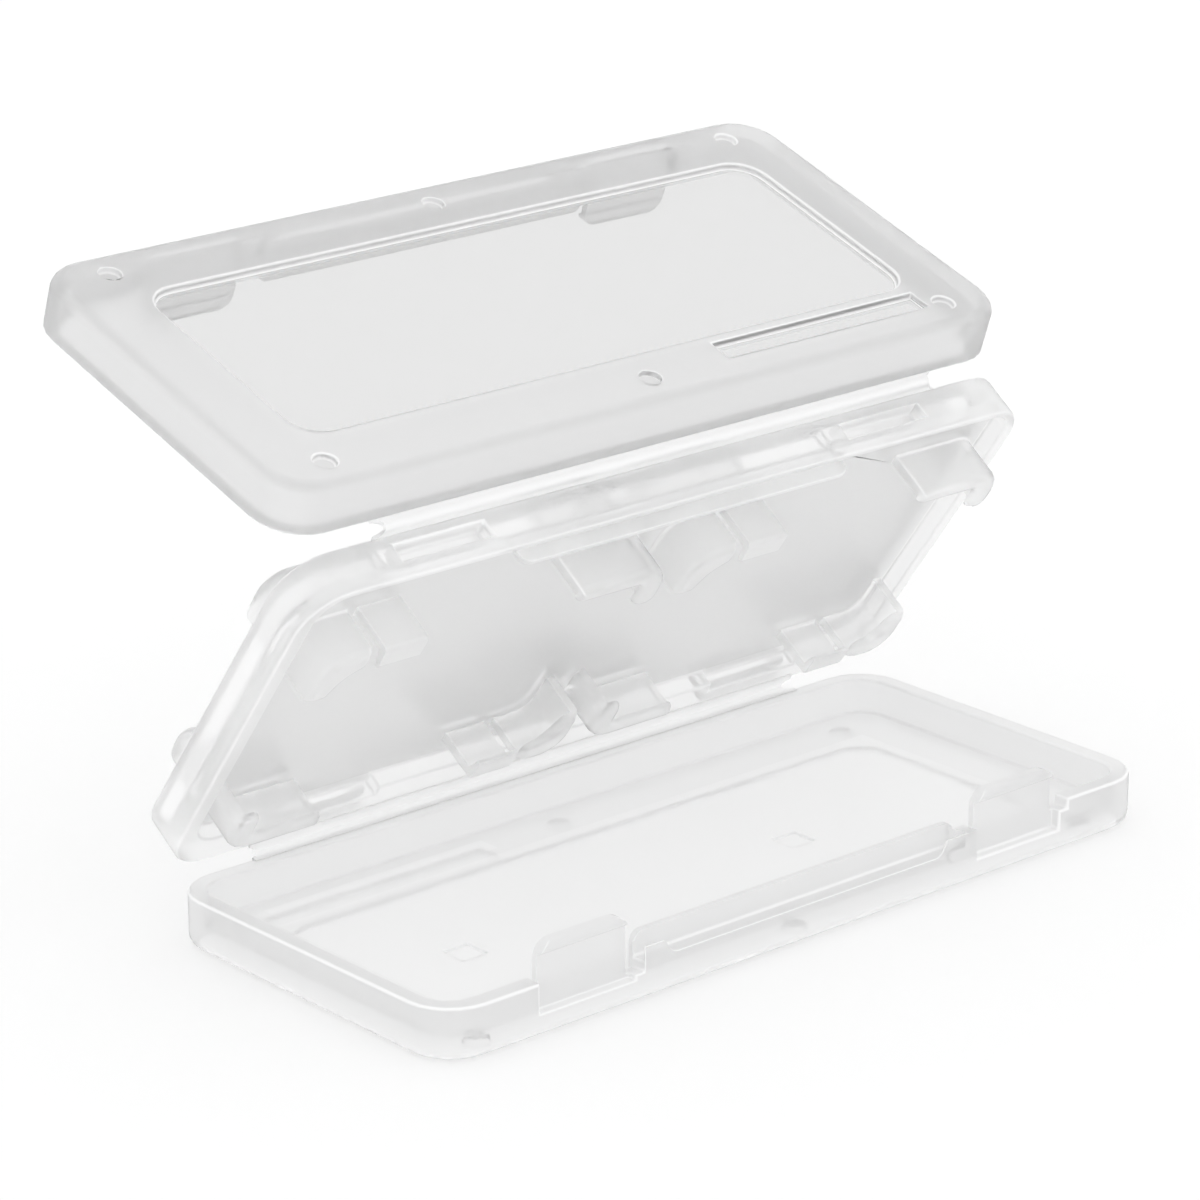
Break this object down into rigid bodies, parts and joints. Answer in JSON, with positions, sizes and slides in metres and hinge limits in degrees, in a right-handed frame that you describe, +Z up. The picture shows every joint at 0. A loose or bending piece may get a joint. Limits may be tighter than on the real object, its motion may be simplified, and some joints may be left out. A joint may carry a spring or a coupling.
{
  "type": "game card case",
  "caption": "Folding game card case of frosted translucent plastic: a tray, a card panel with clips on both faces and a lid, joined like a Z by film hinges, standing half open.",
  "frame": {"origin": "on the table, under the middle of the half open case's box", "axes": "+X along the case's length to the right, +Y from the tray's latch side to its hinge side, +Z up"},
  "size_m": [0.072, 0.048, 0.0487],
  "materials": {
    "frosted_plastic": "frosted translucent, smooth"
  },
  "bodies": {
    "tray_body": {"tray": "frosted_plastic", "tray_latch_left": "frosted_plastic", "tray_latch_right": "frosted_plastic"},
    "panel_body": {"card_panel": "frosted_plastic", "lower_hinge_film": "frosted_plastic", "tray_side_left_front_hook": "frosted_plastic", "tray_side_left_rear_hook": "frosted_plastic", "tray_side_right_front_hook": "frosted_plastic", "tray_side_right_rear_hook": "frosted_plastic", "lid_side_left_front_hook": "frosted_plastic", "lid_side_left_rear_hook": "frosted_plastic", "lid_side_right_front_hook": "frosted_plastic", "lid_side_right_rear_hook": "frosted_plastic"},
    "lid_body": {"lid": "frosted_plastic", "lid_latch_left": "frosted_plastic", "lid_latch_right": "frosted_plastic", "upper_hinge_film": "frosted_plastic"}
  },
  "joints": [
    {"name": "lower_hinge", "type": "hinge", "parent": "tray_body", "child": "panel_body", "pos_m": [0, 0.00908, 0.0044], "axis": [1, 0, 0], "range_deg": [-126.1, 53.9]},
    {"name": "upper_hinge", "type": "hinge", "parent": "panel_body", "child": "lid_body", "pos_m": [0, -0.00744, 0.03418], "axis": [1, 0, 0], "range_deg": [-72.6, 107.4]}
  ]
}
